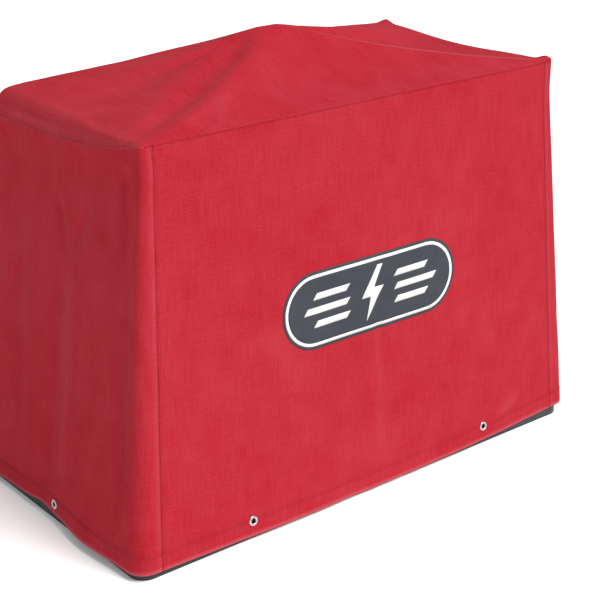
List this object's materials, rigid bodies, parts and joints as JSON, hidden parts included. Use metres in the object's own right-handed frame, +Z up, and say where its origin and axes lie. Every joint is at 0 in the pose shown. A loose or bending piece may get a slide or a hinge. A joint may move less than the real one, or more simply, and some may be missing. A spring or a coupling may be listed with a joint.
{
  "type": "engine driven welder",
  "caption": "Engine-driven welding generator standing on a low skid base, with a fitted canvas cover draped over the whole machine and its raised lifting eye.",
  "frame": {"origin": "centre of the base, on the floor", "axes": "+X from the control end to the engine end, +Y towards the machine's left side, +Z up"},
  "size_m": [1.0892, 0.5628, 0.8579],
  "materials": {
    "canvas": "woven cotton duck, slightly faded",
    "eyelet_metal": "bright rolled eyelets",
    "base_paint": "slate grey paint, satin",
    "rubber": "black rubber",
    "case_paint": "grey powder coat, satin",
    "panel_paint": "black powder coat, matte",
    "plated_steel": "zinc plated",
    "stud_brass": "bright brass",
    "black_plastic": "moulded, fine grain",
    "switch_metal": "polished",
    "green_plastic": "moulded",
    "red_plastic": "moulded",
    "lamination_steel": "varnished laminations",
    "copper_enamel": "enamelled copper wire",
    "cast_aluminium": "as cast",
    "engine_black": "black paint",
    "cast_iron": "as cast",
    "exhaust_steel": "heat-tinted steel",
    "filter_paint": "white paint",
    "tank_paint": "black paint"
  },
  "bodies": {
    "machine": {"base_deck": "base_paint", "engine_cradle": "base_paint", "engine_mounts": "rubber", "lift_frame": "base_paint", "roof_panel": "case_paint", "side_panel_right": "case_paint", "side_panel_left": "case_paint", "service_door_right": "case_paint", "service_door_left": "case_paint", "door_hinges": "plated_steel", "rear_panel": "case_paint", "rear_grille": "case_paint", "control_panel": "panel_paint", "output_panel": "panel_paint", "gauges": "black_plastic", "panel_collars": "plated_steel", "receptacles": "black_plastic", "lid_hinge_pin": "plated_steel", "output_studs": "stud_brass", "stator_core": "lamination_steel", "stator_windings": "copper_enamel", "end_bracket": "cast_aluminium", "bell_housing": "cast_aluminium", "crankcase": "cast_aluminium", "cylinders": "cast_aluminium", "cylinder_heads": "cast_aluminium", "blower_housing": "engine_black", "carburetor": "cast_aluminium", "air_cleaner": "engine_black", "muffler": "exhaust_steel", "oil_filter": "filter_paint", "starter_motor": "engine_black", "fuel_tank": "tank_paint", "battery": "black_plastic", "reactor": "lamination_steel", "rectifier": "cast_aluminium", "panel_screws": "plated_steel"},
    "canvas_cover": {"cover_front_wall": "canvas", "cover_back_wall": "canvas", "cover_left_end": "canvas", "cover_right_end": "canvas", "cover_top_panel": "canvas", "cover_grommets": "eyelet_metal"},
    "crank_train": {"crankshaft": "plated_steel", "rotor": "copper_enamel", "alternator_fan": "black_plastic", "flywheel": "cast_iron"},
    "output_knob": {"output_knob": "black_plastic"},
    "mode_knob": {"mode_knob": "black_plastic"},
    "run_stop_switch": {"run_stop_switch": "switch_metal"},
    "start_button": {"start_button": "green_plastic"},
    "breaker_button_1": {"breaker_button_1": "red_plastic"},
    "breaker_button_2": {"breaker_button_2": "red_plastic"},
    "choke_knob": {"choke_knob": "black_plastic"},
    "choke_lever": {"choke_lever": "plated_steel"},
    "receptacle_lid": {"receptacle_lid": "black_plastic"},
    "fuel_cap": {"fuel_cap": "black_plastic"},
    "door_latch_right": {"door_latch_right": "plated_steel"},
    "door_latch_left": {"door_latch_left": "plated_steel"}
  },
  "joints": [
    {"name": "cover_lift", "type": "slide", "parent": "machine", "child": "canvas_cover", "axis": [0, 0, 1], "range_m": [0, 0.87]},
    {"name": "crank_spin", "type": "hinge", "parent": "machine", "child": "crank_train", "pos_m": [0, 0, 0.3], "axis": [1, 0, 0], "continuous": true},
    {"name": "output_knob_turn", "type": "hinge", "parent": "machine", "child": "output_knob", "pos_m": [-0.434, -0.12, 0.505], "axis": [-1, 0, 0], "range_deg": [-135, 135]},
    {"name": "mode_knob_turn", "type": "hinge", "parent": "machine", "child": "mode_knob", "pos_m": [-0.434, 0, 0.505], "axis": [-1, 0, 0], "range_deg": [0, 120]},
    {"name": "run_stop_toggle", "type": "hinge", "parent": "machine", "child": "run_stop_switch", "pos_m": [-0.43, 0.095, 0.54], "axis": [0, 1, 0], "range_deg": [-20, 0]},
    {"name": "start_press", "type": "slide", "parent": "machine", "child": "start_button", "axis": [1, 0, 0], "range_m": [0, 0.004], "stiffness_N_per_m": 250},
    {"name": "breaker_press_1", "type": "slide", "parent": "machine", "child": "breaker_button_1", "axis": [1, 0, 0], "range_m": [0, 0.003], "stiffness_N_per_m": 250},
    {"name": "breaker_press_2", "type": "slide", "parent": "machine", "child": "breaker_button_2", "axis": [1, 0, 0], "range_m": [0, 0.003], "stiffness_N_per_m": 250},
    {"name": "choke_pull", "type": "slide", "parent": "machine", "child": "choke_knob", "axis": [-1, 0, 0], "range_m": [0, 0.02]},
    {"name": "choke_turn", "type": "hinge", "parent": "machine", "child": "choke_lever", "pos_m": [0.175, -0.0253, 0.481], "axis": [0, -1, 0], "range_deg": [0, 60]},
    {"name": "lid_swing", "type": "hinge", "parent": "machine", "child": "receptacle_lid", "pos_m": [-0.439, -0.135, 0.3715], "axis": [0, 1, 0], "range_deg": [0, 95]},
    {"name": "cap_turn", "type": "hinge", "parent": "machine", "child": "fuel_cap", "pos_m": [-0.25, 0, 0.757], "axis": [0, 0, 1], "range_deg": [0, 90]},
    {"name": "latch_turn_right", "type": "hinge", "parent": "machine", "child": "door_latch_right", "pos_m": [0.108, -0.2363, 0.385], "axis": [0, 1, 0], "range_deg": [0, 90]},
    {"name": "latch_turn_left", "type": "hinge", "parent": "machine", "child": "door_latch_left", "pos_m": [0.108, 0.2363, 0.385], "axis": [0, 1, 0], "range_deg": [0, 90]}
  ],
  "couplings": [
    {"joint": "choke_turn", "follows": "choke_pull", "rad_per_m": 52}
  ]
}
